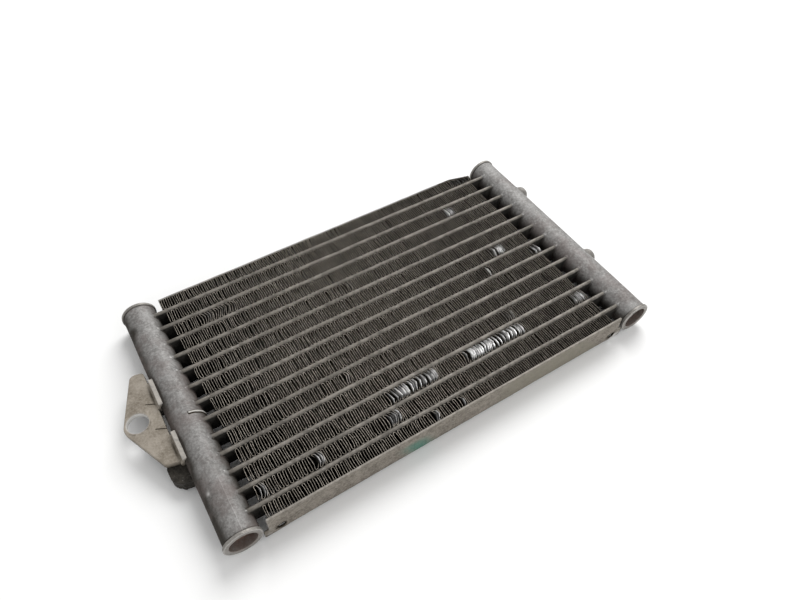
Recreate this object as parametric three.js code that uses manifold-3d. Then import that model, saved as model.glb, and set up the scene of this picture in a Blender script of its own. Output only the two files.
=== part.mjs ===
// Hydraulic oil cooler: a brazed aluminium tube-and-fin core between two round header tanks.
// Units are millimetres and +Z is up. The cooler lies flat: tubes run along X, headers along Y.
// Every piece is first placed about the middle of the core, at the height of the header axes,
// and the whole group is then lifted so that its origin is the bottom centre of its box.

import * as THREE from 'three';
import { mergeVertices } from 'three/addons/utils/BufferGeometryUtils.js';
import Module from 'manifold-3d';

// ---------- driving dimensions ----------

const TUBE_COUNT = 13;
const TUBE_PITCH = 13;
const TUBE_WIDTH = 15;
const TUBE_THICKNESS = 3;
const TUBE_CHANNELS = 4;
const TUBE_SIDE_WALL = 1;
const TUBE_FACE_WALL = 0.6;
const TUBE_WEB = 1;
const TUBE_LENGTH = 282;
const TUBE_ROUND_STEPS = 4;
const SLOT_CLEARANCE = 0.15;

const HEADER_X = 145.5;
const HEADER_RADIUS = 10.7;
const HEADER_BORE = 9.5;
const HEADER_LENGTH = 176;
const ROUND_SEGMENTS = 32;

const CAP_FLANGE_RADIUS = 11.5;
const CAP_FLANGE_THICKNESS = 2;
const CAP_CUP_RADIUS = 9.35;
const CAP_CUP_BORE = 8.3;
const CAP_CUP_DEPTH = 6.5;
const CAP_FLOOR = 1.2;
const CAP_CHAMFER = 0.5;
const CAP_SEGMENTS = 24;

const FIN_DEPTH = 13.2;
const FIN_FOLDS = 30;
const FIN_SKEW_THICKNESS = 0.8;
const FIN_LEFT = -129;
const FIN_RIGHT = 124.5;
const OUTER_FIN_HEIGHT = 9.25;
const REAR_FIN_LEFT = -130.5;
const REAR_FIN_RIGHT = 111;

const PLATE_THICKNESS = 1.25;
const FRONT_PLATE_HEIGHT = 20.8;
const FRONT_PLATE_LEFT = -130.9;
const FRONT_PLATE_RIGHT = 129.4;
const PLATE_TAB_X = 134.2;
const PLATE_TAB_TOP = -3.5;
const PLATE_TAB_SLOPE = { width: 1.2, height: 0.5 };
const PLATE_HOLE_STEPS = 10;
const PLATE_HOLE_RADIUS = 2.4;
const PLATE_HOLES = [[-123.7, -5.5], [125.2, -6]];
const REAR_PLATE_BEND_X = 112;
const REAR_PLATE_RIGHT = 129.5;
const REAR_PLATE_BEND = 3.2;

const BAFFLE_Y = -TUBE_PITCH / 2;
const BAFFLE_THICKNESS = 1.5;
const BAFFLE_RIM_RADIUS = 11.4;
const BAFFLE_DISC_RADIUS = 9.35;
const BAFFLE_HALF_ANGLE = THREE.MathUtils.degToRad(78);
const BAFFLE_STEPS = 14;

const BRACKET_THICKNESS = 4;
const BRACKET_TOP = 3;
const BRACKET_EDGE = -12.3;
// [x, y, radius] corners of the ear about the left header axis.
const BRACKET_OUTLINE = [
  [BRACKET_EDGE, -29.5, 1],
  [BRACKET_EDGE, 40.6, 2.5],
  [-20.3, 42.3, 4],
  [-35.4, 5.8, 8],
  [-21.2, -27.2, 3.5],
];
const BRACKET_HOLE_STEPS = 12;
const BRACKET_HOLE = { x: -26.2, y: 7.2, radius: 6.6 };
const BRACKET_LIP_TOP = 6.6;
const BRACKET_LIP_LEFT = -11.3;
const BRACKET_LIP_START = 10.3;
const BRACKET_LIP_END = 31;
const KERF = { width: 0.7, length: 7, depth: 1.4, x: -15.2, ys: [15.8, -3.5], angle: -Math.PI / 7 };

const PORT_X = -14.5;
const PORT_YS = { inlet_port_boss: 20, outlet_port_boss: -34.5 };
// [x, y, radius] corners of a port block about its bore.
const PORT_OUTLINE = [
  [6.5, -7.4, 1.5],
  [6.5, 9.5, 1],
  [-7.4, 9.5, 2.5],
  [-7, -1.6, 3.5],
  [-2, -6.6, 3.5],
];
const PORT_BORE = 4;
const PORT_BOTTOM = -10.9;
const PORT_TOP = -1.6;
const PORT_BORE_END = -3.6;
const PORT_PASSAGE = { z: -5.9, radius: 2, segments: 12 };

const PINS = {
  right_mount_boss_rear: { y: 50.8, reach: 16 },
  right_mount_boss_front: { y: -29.5, reach: 15 },
};
const PIN_RADIUS = 6;
const PIN_ROUNDING = 3;
const PIN_ROUNDING_STEPS = 5;

const WELD_GAP = 0.1;

// ---------- materials ----------

const finish = (color, roughness, metalness = 0.85) => new THREE.MeshStandardMaterial({ color, roughness, metalness });
const castAluminium = () => finish(0x8f8c8a, 0.55);
const tubeAluminium = () => finish(0xa39c94, 0.5);
const finAluminium = () => finish(0x4f4944, 0.6);
const sheetAluminium = () => finish(0x8d8577, 0.6);
const bracketAluminium = () => finish(0x948977, 0.62);
const grimyAluminium = () => finish(0x2f2824, 0.8, 0.4);

// ---------- geometry helpers ----------

const wasm = await Module();
wasm.setup();

/** A closed three.js geometry as a solid that can be joined and cut. */
function toSolid(geometry) {
  const bare = geometry.clone();
  bare.deleteAttribute('normal');
  bare.deleteAttribute('uv');
  const merged = mergeVertices(bare, 1e-5);
  return new wasm.Manifold(new wasm.Mesh({
    numProp: 3,
    vertProperties: new Float32Array(merged.attributes.position.array),
    triVerts: new Uint32Array(merged.index.array),
  }));
}

/** The solid's surface as a three.js geometry. */
function toGeometry(solid) {
  const mesh = solid.getMesh();
  const geometry = new THREE.BufferGeometry();
  geometry.setAttribute('position', new THREE.BufferAttribute(new Float32Array(mesh.vertProperties), 3));
  geometry.setIndex(new THREE.BufferAttribute(new Uint32Array(mesh.triVerts), 1));
  geometry.computeVertexNormals();
  return geometry;
}

/** base with each cutter taken away, as a geometry. */
function cut(base, ...cutters) {
  return toGeometry(cutters.reduce((solid, cutter) => solid.subtract(toSolid(cutter)), toSolid(base)));
}

/** Turns a geometry so that its own x, y and z run along the three given world axes. */
function turned(geometry, x, y, z) {
  return geometry.applyMatrix4(new THREE.Matrix4().makeBasis(x, y, z));
}

const X = new THREE.Vector3(1, 0, 0);
const Y = new THREE.Vector3(0, 1, 0);
const Z = new THREE.Vector3(0, 0, 1);
const MINUS_Y = new THREE.Vector3(0, -1, 0);

/** A shape extruded by the given depth, centred on the plane of the shape. */
function extruded(shape, depth, curveSegments = 8) {
  const geometry = new THREE.ExtrudeGeometry(shape, { depth, bevelEnabled: false, curveSegments });
  return geometry.translate(0, 0, -depth / 2);
}

/** A (y, z) section extruded along X. */
const alongX = (shape, length, curveSegments) => turned(extruded(shape, length, curveSegments), Y, Z, X);

/** An (x, z) section extruded along Y. */
const alongY = (shape, length, curveSegments) => turned(extruded(shape, length, curveSegments), X, Z, MINUS_Y);

/** A closed round solid about the Y axis. The profile is a list of [radius, height], going up its outside. */
function revolved(profile, segments = ROUND_SEGMENTS) {
  return new THREE.LatheGeometry(profile.map(([r, y]) => new THREE.Vector2(r, y)), segments);
}

/** A solid cylinder about the Y axis. */
function cylinder(radius, from, to, segments = ROUND_SEGMENTS) {
  return revolved([[0, from], [radius, from], [radius, to], [0, to]], segments);
}

/** The same round solids, about X or about Z. */
const aboutX = (geometry) => turned(geometry, Z, X, Y);
const aboutZ = (geometry) => turned(geometry, Y, Z, X);

/** A stadium outline with its long axis along the shape's second coordinate. */
function stadium(thickness, width) {
  const r = thickness / 2;
  const straight = width / 2 - r;
  const shape = new THREE.Shape();
  shape.absarc(0, straight, r, 0, Math.PI, false);
  shape.absarc(0, -straight, r, Math.PI, 2 * Math.PI, false);
  return shape;
}

/** A polygon of [x, y, radius] corners, anticlockwise, each rounded to its radius. */
function roundedPolygon(corners) {
  const shape = new THREE.Shape();
  corners.forEach(([x, y, radius], i) => {
    const corner = new THREE.Vector2(x, y);
    const before = new THREE.Vector2(...corners.at(i - 1)).sub(corner).normalize();
    const after = new THREE.Vector2(...corners[(i + 1) % corners.length]).sub(corner).normalize();
    const halfAngle = Math.acos(before.dot(after)) / 2;
    const centre = before.clone().add(after).normalize().multiplyScalar(radius / Math.sin(halfAngle)).add(corner);
    const tangent = radius / Math.tan(halfAngle);
    const start = before.clone().multiplyScalar(tangent).add(corner).sub(centre);
    const end = after.clone().multiplyScalar(tangent).add(corner).sub(centre);
    shape.absarc(centre.x, centre.y, radius, start.angle(), end.angle(), false);
  });
  return shape;
}

function polygon(points) {
  return new THREE.Shape(points.map(([x, y]) => new THREE.Vector2(x, y)));
}

/** Adds one named piece to a group. */
function addPart(group, name, geometry, material) {
  const mesh = new THREE.Mesh(geometry, material);
  mesh.name = name;
  group.add(mesh);
  return mesh;
}

// ---------- core ----------

const tubeY = (index) => ((TUBE_COUNT - 1) / 2 - index) * TUBE_PITCH;

/** A flat extruded tube with oil channels side by side, open at both ends. */
function tubeGeometry() {
  const section = stadium(TUBE_THICKNESS, TUBE_WIDTH);
  const halfHeight = TUBE_THICKNESS / 2 - TUBE_FACE_WALL;
  const inside = TUBE_WIDTH - 2 * TUBE_SIDE_WALL;
  const channel = (inside - (TUBE_CHANNELS - 1) * TUBE_WEB) / TUBE_CHANNELS;
  for (let i = 0; i < TUBE_CHANNELS; i++) {
    const z = -inside / 2 + i * (channel + TUBE_WEB);
    section.holes.push(polygon([
      [-halfHeight, z], [-halfHeight, z + channel], [halfHeight, z + channel], [halfHeight, z],
    ]));
  }
  return alongX(section, TUBE_LENGTH, TUBE_ROUND_STEPS);
}

/** One row of corrugated fin: a folded strip whose folds touch both neighbours. */
function finGeometry(length, height, folds) {
  const step = length / folds;
  const crest = (i) => (i % 2 ? height / 2 : -height / 2);
  const upper = [];
  const lower = [];
  for (let i = 0; i <= folds; i++) {
    const x = -length / 2 + i * step;
    upper.push([x, Math.max(crest(i), -height / 2 + FIN_SKEW_THICKNESS)]);
    lower.push([x, Math.min(crest(i), height / 2 - FIN_SKEW_THICKNESS)]);
  }
  return extruded(polygon([...lower, ...upper.reverse()]), FIN_DEPTH);
}

function addCore(group) {
  const tube = tubeGeometry();
  for (let i = 0; i < TUBE_COUNT; i++) {
    const name = `tube_${String(i + 1).padStart(2, '0')}`;
    addPart(group, name, tube, tubeAluminium()).position.y = tubeY(i);
  }
  const innerHeight = TUBE_PITCH - TUBE_THICKNESS;
  const innerFin = finGeometry(FIN_RIGHT - FIN_LEFT, innerHeight, FIN_FOLDS);
  const frontFin = finGeometry(FIN_RIGHT - FIN_LEFT, OUTER_FIN_HEIGHT, FIN_FOLDS);
  const rearFin = finGeometry(REAR_FIN_RIGHT - REAR_FIN_LEFT, OUTER_FIN_HEIGHT, FIN_FOLDS);
  const outerY = tubeY(0) + (TUBE_THICKNESS + OUTER_FIN_HEIGHT) / 2;
  addPart(group, 'fin_01', rearFin, finAluminium()).position.set((REAR_FIN_LEFT + REAR_FIN_RIGHT) / 2, outerY, 0);
  for (let i = 1; i < TUBE_COUNT; i++) {
    const name = `fin_${String(i + 1).padStart(2, '0')}`;
    const y = (tubeY(i - 1) + tubeY(i)) / 2;
    addPart(group, name, innerFin, finAluminium()).position.set((FIN_LEFT + FIN_RIGHT) / 2, y, 0);
  }
  addPart(group, 'fin_14', frontFin, finAluminium()).position.set((FIN_LEFT + FIN_RIGHT) / 2, -outerY, 0);
}

// ---------- headers ----------

/** A round header tube with one slot for each flat tube, on the side that faces +X. */
function headerGeometry(...moreCutters) {
  const half = HEADER_LENGTH / 2;
  const wall = revolved([
    [HEADER_BORE, -half], [HEADER_RADIUS, -half], [HEADER_RADIUS, half], [HEADER_BORE, half], [HEADER_BORE, -half],
  ]);
  const slotSection = stadium(TUBE_THICKNESS + 2 * SLOT_CLEARANCE, TUBE_WIDTH + 2 * SLOT_CLEARANCE);
  const slots = [];
  for (let i = 0; i < TUBE_COUNT; i++) {
    slots.push(alongX(slotSection, HEADER_RADIUS, TUBE_ROUND_STEPS).translate(HEADER_RADIUS, tubeY(i), 0));
  }
  return cut(wall, ...slots, ...moreCutters);
}

/** A half-moon of the given radius that spans the baffle's slot, about the header axis. */
function baffleSector(radius, thickness) {
  const sector = new THREE.Shape();
  sector.moveTo(0, 0);
  sector.lineTo(radius * Math.cos(BAFFLE_HALF_ANGLE), -radius * Math.sin(BAFFLE_HALF_ANGLE));
  sector.absarc(0, 0, radius, -BAFFLE_HALF_ANGLE, BAFFLE_HALF_ANGLE, false);
  return alongY(sector, thickness, BAFFLE_STEPS).translate(0, BAFFLE_Y, 0);
}

/** The disc that splits the left header into its inlet and outlet halves. */
function baffleGeometry() {
  const disc = new THREE.Shape();
  disc.absarc(0, 0, BAFFLE_RIM_RADIUS, -BAFFLE_HALF_ANGLE, BAFFLE_HALF_ANGLE, false);
  disc.absarc(0, 0, BAFFLE_DISC_RADIUS, BAFFLE_HALF_ANGLE, 2 * Math.PI - BAFFLE_HALF_ANGLE, false);
  return alongY(disc, BAFFLE_THICKNESS, BAFFLE_STEPS).translate(0, BAFFLE_Y, 0);
}

/** A flanged cup that closes the end of a header; it is modelled for the +Y end. */
function endCapGeometry() {
  const seat = HEADER_LENGTH / 2;
  const face = seat + CAP_FLANGE_THICKNESS;
  const floor = face - CAP_CUP_DEPTH;
  return revolved([
    [0, floor - CAP_FLOOR],
    [CAP_CUP_RADIUS, floor - CAP_FLOOR],
    [CAP_CUP_RADIUS, seat],
    [CAP_FLANGE_RADIUS, seat],
    [CAP_FLANGE_RADIUS, face - CAP_CHAMFER],
    [CAP_FLANGE_RADIUS - CAP_CHAMFER, face],
    [CAP_CUP_BORE + CAP_CHAMFER, face],
    [CAP_CUP_BORE, face - CAP_CHAMFER],
    [CAP_CUP_BORE, floor],
    [0, floor],
  ], CAP_SEGMENTS);
}

/** The cross passage from a port bore through the wall of the left header. */
function portPassage(y) {
  return aboutX(cylinder(PORT_PASSAGE.radius, PORT_X, 0, PORT_PASSAGE.segments)).translate(0, y, PORT_PASSAGE.z);
}

/** The room that a header takes, with a gap for braze, to cut pieces that lie against it. */
function headerClearance() {
  return cylinder(HEADER_RADIUS + WELD_GAP, -HEADER_LENGTH / 2, HEADER_LENGTH / 2);
}

/** A block brazed under the flank of the left header, with a bore that opens downwards. */
function portBossGeometry(y) {
  const middle = (PORT_TOP + PORT_BOTTOM) / 2;
  const block = extruded(roundedPolygon(PORT_OUTLINE), PORT_TOP - PORT_BOTTOM).translate(PORT_X, y, middle);
  const bore = aboutZ(cylinder(PORT_BORE, PORT_BOTTOM - 1, PORT_BORE_END, CAP_SEGMENTS)).translate(PORT_X, y, 0);
  return cut(block, bore, headerClearance(), portPassage(y));
}

/** A round-edged boss brazed on the outer side of the right header. */
function mountBossGeometry({ y, reach }) {
  const profile = [[0, 0], [PIN_RADIUS, 0]];
  for (let i = 0; i <= PIN_ROUNDING_STEPS; i++) {
    const angle = (i / PIN_ROUNDING_STEPS) * Math.PI / 2;
    profile.push([
      PIN_RADIUS - PIN_ROUNDING * (1 - Math.cos(angle)),
      reach - PIN_ROUNDING * (1 - Math.sin(angle)),
    ]);
  }
  profile.push([0, reach]);
  return cut(aboutX(revolved(profile, CAP_SEGMENTS)).translate(0, y, 0), headerClearance());
}

function addHeaders(group) {
  const left = new THREE.Group();
  left.position.x = -HEADER_X;
  const right = new THREE.Group();
  right.position.x = HEADER_X;
  group.add(left, right);

  const portYs = Object.values(PORT_YS);
  const baffleSlot = baffleSector(BAFFLE_RIM_RADIUS + 1, BAFFLE_THICKNESS + 2 * SLOT_CLEARANCE);
  addPart(left, 'left_header_tank', headerGeometry(baffleSlot, ...portYs.map(portPassage)), castAluminium());
  addPart(left, 'left_header_baffle', baffleGeometry(), sheetAluminium());
  // The right header is the same tube turned half a turn about its upright axis.
  addPart(right, 'right_header_tank', headerGeometry().rotateZ(Math.PI), castAluminium());

  for (const [side, header] of [['left', left], ['right', right]]) {
    addPart(header, `${side}_rear_end_cap`, endCapGeometry(), castAluminium());
    addPart(header, `${side}_front_end_cap`, endCapGeometry().rotateZ(Math.PI), castAluminium());
  }
  for (const [name, y] of Object.entries(PORT_YS)) {
    addPart(left, name, portBossGeometry(y), grimyAluminium());
  }
  for (const [name, pin] of Object.entries(PINS)) {
    addPart(right, name, mountBossGeometry(pin), castAluminium());
  }
  addPart(left, 'mounting_bracket', bracketGeometry(), bracketAluminium());
}

// ---------- mounting bracket ----------

/** The flat ear with its bolt hole; its outline is about the left header axis. */
function bracketPlate() {
  const outline = roundedPolygon(BRACKET_OUTLINE);
  const hole = new THREE.Path();
  hole.absarc(BRACKET_HOLE.x, BRACKET_HOLE.y, BRACKET_HOLE.radius, 0, 2 * Math.PI, true);
  outline.holes.push(hole);
  return extruded(outline, BRACKET_THICKNESS, BRACKET_HOLE_STEPS).translate(0, 0, BRACKET_TOP - BRACKET_THICKNESS / 2);
}

/** One upturned lip that cradles the upper flank of the header, from y = start to y = end. */
function bracketLip(start, end) {
  const bottom = BRACKET_TOP - BRACKET_THICKNESS;
  const fillet = BRACKET_LIP_LEFT - BRACKET_EDGE;
  const root = BRACKET_EDGE - fillet / 2;
  const section = polygon([
    [root, bottom],
    [0, bottom],
    [0, BRACKET_LIP_TOP],
    [BRACKET_LIP_LEFT, BRACKET_LIP_TOP],
    [BRACKET_LIP_LEFT, BRACKET_TOP + fillet],
    [root, BRACKET_TOP],
  ]);
  return alongY(section, end - start).translate(0, (start + end) / 2, 0);
}

/** A shallow saw kerf in the top of the plate, in line with the end of a lip. */
function bracketKerf(y) {
  const kerf = new THREE.BoxGeometry(KERF.length, KERF.width, 2 * KERF.depth);
  return kerf.rotateZ(KERF.angle).translate(KERF.x, y, BRACKET_TOP);
}

function bracketGeometry() {
  const plate = toSolid(bracketPlate());
  const lips = [[-BRACKET_LIP_END, -BRACKET_LIP_START], [BRACKET_LIP_START, BRACKET_LIP_END]]
    .map(([start, end]) => toSolid(bracketLip(start, end)));
  const header = toSolid(headerClearance());
  const kerfs = KERF.ys.map((y) => toSolid(bracketKerf(y)));
  const joined = lips.reduce((solid, lip) => solid.add(lip), plate).subtract(header);
  return toGeometry(kerfs.reduce((solid, kerf) => solid.subtract(kerf), joined));
}

// ---------- side plates ----------

/** The front side plate: a tall sheet with a tab at each end and a hole near each end. */
function frontPlateGeometry() {
  const top = FRONT_PLATE_HEIGHT / 2;
  const sheet = polygon([
    [-PLATE_TAB_X, -top],
    [PLATE_TAB_X, -top],
    [PLATE_TAB_X, PLATE_TAB_TOP],
    [FRONT_PLATE_RIGHT + PLATE_TAB_SLOPE.width, PLATE_TAB_TOP + PLATE_TAB_SLOPE.height],
    [FRONT_PLATE_RIGHT, top],
    [FRONT_PLATE_LEFT, top],
    [FRONT_PLATE_LEFT, PLATE_TAB_TOP],
    [-PLATE_TAB_X, PLATE_TAB_TOP],
  ]);
  for (const [x, z] of PLATE_HOLES) {
    const hole = new THREE.Path();
    hole.absarc(x, z, PLATE_HOLE_RADIUS, 0, 2 * Math.PI, true);
    sheet.holes.push(hole);
  }
  return alongY(sheet, PLATE_THICKNESS, PLATE_HOLE_STEPS);
}

/** The rear side plate: a strip as deep as the fins, bent inwards at its right end. */
function rearPlateGeometry() {
  const half = PLATE_THICKNESS / 2;
  return extruded(polygon([
    [REAR_FIN_LEFT, -half],
    [REAR_PLATE_BEND_X, -half],
    [REAR_PLATE_RIGHT, -half - REAR_PLATE_BEND],
    [REAR_PLATE_RIGHT, half - REAR_PLATE_BEND],
    [REAR_PLATE_BEND_X, half],
    [REAR_FIN_LEFT, half],
  ]), FIN_DEPTH);
}

function addSidePlates(group) {
  const y = tubeY(0) + TUBE_THICKNESS / 2 + OUTER_FIN_HEIGHT + PLATE_THICKNESS / 2;
  addPart(group, 'rear_side_plate', rearPlateGeometry(), sheetAluminium()).position.y = y;
  addPart(group, 'front_side_plate', frontPlateGeometry(), sheetAluminium()).position.y = -y;
}

// ---------- assembly ----------

function buildCooler() {
  const assembly = new THREE.Group();
  addCore(assembly);
  addHeaders(assembly);
  addSidePlates(assembly);

  const cooler = new THREE.Group();
  cooler.add(assembly);
  cooler.updateMatrixWorld(true);
  const box = new THREE.Box3().setFromObject(cooler);
  const centre = box.getCenter(new THREE.Vector3());
  assembly.position.set(-centre.x, -centre.y, -box.min.z);
  cooler.updateMatrixWorld(true);
  return cooler;
}

export default buildCooler();
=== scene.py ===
"""Looks of the hydraulic oil cooler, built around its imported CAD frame.

Shapes are made in millimetres about the middle of the core, at the height of the header axes,
and are moved into the row frame, in metres, when each mesh is made.
"""

from math import acos, asin, atan2, cos, degrees, pi, radians, sin, sqrt, tan

import bmesh
import bpy
import numpy as np
from mathutils import Matrix, Vector


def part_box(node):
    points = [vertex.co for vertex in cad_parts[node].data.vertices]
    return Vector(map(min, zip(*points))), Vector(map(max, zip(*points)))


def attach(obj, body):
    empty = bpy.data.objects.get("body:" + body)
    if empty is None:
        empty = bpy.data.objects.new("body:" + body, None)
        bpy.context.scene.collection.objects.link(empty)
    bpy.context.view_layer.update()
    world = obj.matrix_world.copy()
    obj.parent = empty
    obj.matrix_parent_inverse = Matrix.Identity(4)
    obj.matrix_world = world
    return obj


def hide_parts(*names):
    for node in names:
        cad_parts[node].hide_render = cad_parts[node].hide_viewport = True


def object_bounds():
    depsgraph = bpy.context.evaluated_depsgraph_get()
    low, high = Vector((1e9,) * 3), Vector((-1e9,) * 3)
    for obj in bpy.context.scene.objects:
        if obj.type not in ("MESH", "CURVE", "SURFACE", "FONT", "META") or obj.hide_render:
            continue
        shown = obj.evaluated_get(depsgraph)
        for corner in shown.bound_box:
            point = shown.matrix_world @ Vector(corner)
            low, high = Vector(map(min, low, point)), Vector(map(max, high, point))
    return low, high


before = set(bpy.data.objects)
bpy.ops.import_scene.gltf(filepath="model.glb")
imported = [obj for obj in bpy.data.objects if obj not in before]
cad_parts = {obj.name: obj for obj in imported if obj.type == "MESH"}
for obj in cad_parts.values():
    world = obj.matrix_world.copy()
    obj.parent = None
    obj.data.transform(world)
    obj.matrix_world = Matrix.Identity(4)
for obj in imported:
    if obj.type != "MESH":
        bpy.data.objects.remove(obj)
cad_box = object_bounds()

MM = 0.001
scene = bpy.context.scene

# ---- measures read from the frame ----


def row_box(node):
    """A CAD node's lowest and highest corner, in mm in the row frame."""
    low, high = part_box(node)
    return np.array(low) / MM, np.array(high) / MM


CORE = sum(row_box("tube_07")) / 2


def cad(node):
    """A CAD node's lowest and highest corner, in mm about the middle of the core."""
    low, high = row_box(node)
    return low - CORE, high - CORE


def centre(node):
    low, high = cad(node)
    return (low + high) / 2


def size(node):
    low, high = cad(node)
    return high - low


TUBES = [f"tube_{i:02d}" for i in range(1, 14)]
FINS = [f"fin_{i:02d}" for i in range(1, 15)]
TUBE_LENGTH, TUBE_THICKNESS, TUBE_WIDTH = size(TUBES[0])
TUBE_YS = [centre(name)[1] for name in TUBES]
LEFT_X = centre("left_rear_end_cap")[0]
RIGHT_X = centre("right_rear_end_cap")[0]
FLANGE_RADIUS = size("left_rear_end_cap")[2] / 2
END_Y = cad("left_rear_end_cap")[1][1]

# Sizes that a node's box doesn't show, as in the CAD source. The ear's are about the left header's axis.
HEADER_RADIUS = 10.7
HEADER_BORE = 9.5
HEADER_END = END_Y - 2
PLATE_HOLES = ((-123.7, -5.5), (125.2, -6))
PLATE_HOLE_RADIUS = 2.4
REAR_THICKNESS = 1.25
REAR_BEND_X = cad("fin_01")[1][0] + 1
REAR_BEND_DROP = size("rear_side_plate")[1] - REAR_THICKNESS
PORT_BORE = 4
BRACKET_TOP = 3
BRACKET_BOTTOM = -1
BRACKET_EDGE = -12.3
BOLT_HOLE_X = -26.2
BOLT_HOLE_Y = 7.2
BOLT_RADIUS = 6.6
KERF_X = -15.2
KERF_YS = (15.8, -3.5)
LIP_START = 10.3
LIP_STOP = 31
LIP_MIDDLE = 20.6

# ---- smooth random functions ----


def wander(t, wavelength, seed, amplitude=1.0):
    """A smooth random curve of t, from about -1 to 1 times the amplitude."""
    t = np.asarray(t, float) / wavelength
    start = int(np.floor(t.min())) - 2
    knots = np.random.default_rng(seed).uniform(-1, 1, int(t.max() - start) + 5)
    i = np.floor(t).astype(int)
    f = t - i
    f = f * f * (3 - 2 * f)
    return amplitude * (knots[i - start] * (1 - f) + knots[i - start + 1] * f)


def ripple(points, wavelength, seed, amplitude=1.0, waves=7):
    """A smooth random field over points, from crossing waves of about the wavelength."""
    rng = np.random.default_rng(seed)
    total = np.zeros(len(points))
    for _ in range(waves):
        direction = rng.normal(size=3)
        direction /= np.linalg.norm(direction)
        k = 2 * pi / (wavelength * rng.uniform(0.7, 1.5))
        total += np.sin(points @ direction * k + rng.uniform(0, 2 * pi))
    return amplitude * total / sqrt(waves)


def shake(points, *waves):
    """Three values for every point, each from one (wavelength, seed, amplitude)."""
    return np.stack([ripple(points, *wave) for wave in waves], -1)


def ramp(value, low, high):
    """0 up to low, 1 from high on, and smooth between."""
    t = unit((np.asarray(value, float) - low) / (high - low))
    return t * t * (3 - 2 * t)


def bump(distance, radius):
    """1 up to distance 0, falling smoothly to 0 at the radius."""
    return 1 - ramp(distance, 0, radius)


def unit(values):
    """Values held between 0 and 1."""
    return np.clip(values, 0, 1)


def turn_angles(count):
    """Angles round a full turn, in radians."""
    return np.linspace(0, 2 * pi, count, endpoint=False)


# ---- mesh building ----


def add_object(name, data):
    made = bpy.data.objects.new(name, data)
    scene.collection.objects.link(made)
    return made


def make_piece(node, material, points, faces, data, sharp):
    """Makes one piece from points in mm about the core. data holds a value per point for each attribute."""
    mesh = bpy.data.meshes.new(node + "_visual")
    mesh.from_pydata(((np.asarray(points) + CORE) * MM).tolist(), [], faces)
    finish_piece(node, material, mesh, data, sharp)


def finish_piece(node, material, mesh, data, sharp):
    """Gives a mesh its attributes, normals and material, and adds it as the piece for a CAD node."""
    for key, values in data.items():
        layer = mesh.attributes.new(key, "FLOAT", "POINT")
        layer.data.foreach_set("value", np.asarray(values, np.float32))
    bm = bmesh.new()
    bm.from_mesh(mesh)
    bmesh.ops.recalc_face_normals(bm, faces=bm.faces)
    bm.to_mesh(mesh)
    bm.free()
    mesh.polygons.foreach_set("use_smooth", [True] * len(mesh.polygons))
    mesh.set_sharp_from_angle(angle=radians(sharp))
    mesh.materials.append(material)
    piece = add_object(node + "_visual", mesh)
    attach(piece, "root")
    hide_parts(node)


def loft(rings, closed=False):
    """Points and faces of a body through equal rings. It is capped at both ends, or closed like a ring."""
    rings = np.asarray(rings)
    count, per_ring = rings.shape[:2]
    i = np.arange(count if closed else count - 1)[:, None]
    j = np.arange(per_ring)[None]
    after_i, after_j = (i + 1) % count, (j + 1) % per_ring
    corners = (i * per_ring + j, i * per_ring + after_j, after_i * per_ring + after_j, after_i * per_ring + j)
    faces = np.stack(np.broadcast_arrays(*corners), -1).reshape(-1, 4).tolist()
    if not closed:
        faces.append(list(range(per_ring))[::-1])
        faces.append(list(range((count - 1) * per_ring, count * per_ring)))
    return rings.reshape(-1, 3), faces


def along_x(section, xs, shift):
    """Points and faces of a body with one section of (y, z) at every x, shifted in y."""
    section = np.array(section)
    rings = np.broadcast_arrays(xs[:, None], section[:, 0] + shift, section[:, 1])
    return loft(np.stack(rings, -1))


def join_bodies(*bodies):
    """Several (points, faces) as one."""
    points, faces, start = [], [], 0
    for body_points, body_faces in bodies:
        points.append(body_points)
        faces += [[i + start for i in face] for face in body_faces]
        start += len(body_points)
    return np.concatenate(points), faces


def arc(centre_point, radius, start, end, steps):
    """Points on an arc, from one angle to another, in degrees."""
    angles = np.radians(np.linspace(start, end, steps + 1))
    return [(centre_point[0] + radius * cos(a), centre_point[1] + radius * sin(a)) for a in angles]


def rounded(corners, steps=6):
    """An outline of (x, y, radius) corners, anticlockwise, each corner rounded to its radius."""
    outline = []
    for i, (x, y, radius) in enumerate(corners):
        corner = np.array([x, y])
        before = np.array(corners[i - 1][:2]) - corner
        after = np.array(corners[(i + 1) % len(corners)][:2]) - corner
        before, after = before / np.linalg.norm(before), after / np.linalg.norm(after)
        half = acos(np.clip(before @ after, -1, 1)) / 2
        middle = before + after
        middle = corner + middle / np.linalg.norm(middle) * radius / sin(half)
        tangent = radius / tan(half)
        first = atan2(*(corner + before * tangent - middle)[::-1])
        turn = atan2(*(corner + after * tangent - middle)[::-1]) - first
        turn = (turn + pi) % (2 * pi) - pi
        for a in first + turn * np.linspace(0, 1, steps + 1):
            outline.append((middle[0] + radius * cos(a), middle[1] + radius * sin(a)))
    return outline


def lathe(profile, segments):
    """Rings of a profile of (radius, height) turned about +Y."""
    angles = turn_angles(segments)
    profile = np.array(profile, float)
    rings = np.empty((len(profile), segments, 3))
    rings[:, :, 0] = profile[:, :1] * np.cos(angles)
    rings[:, :, 1] = profile[:, 1:]
    rings[:, :, 2] = profile[:, :1] * np.sin(angles)
    return rings


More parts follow.
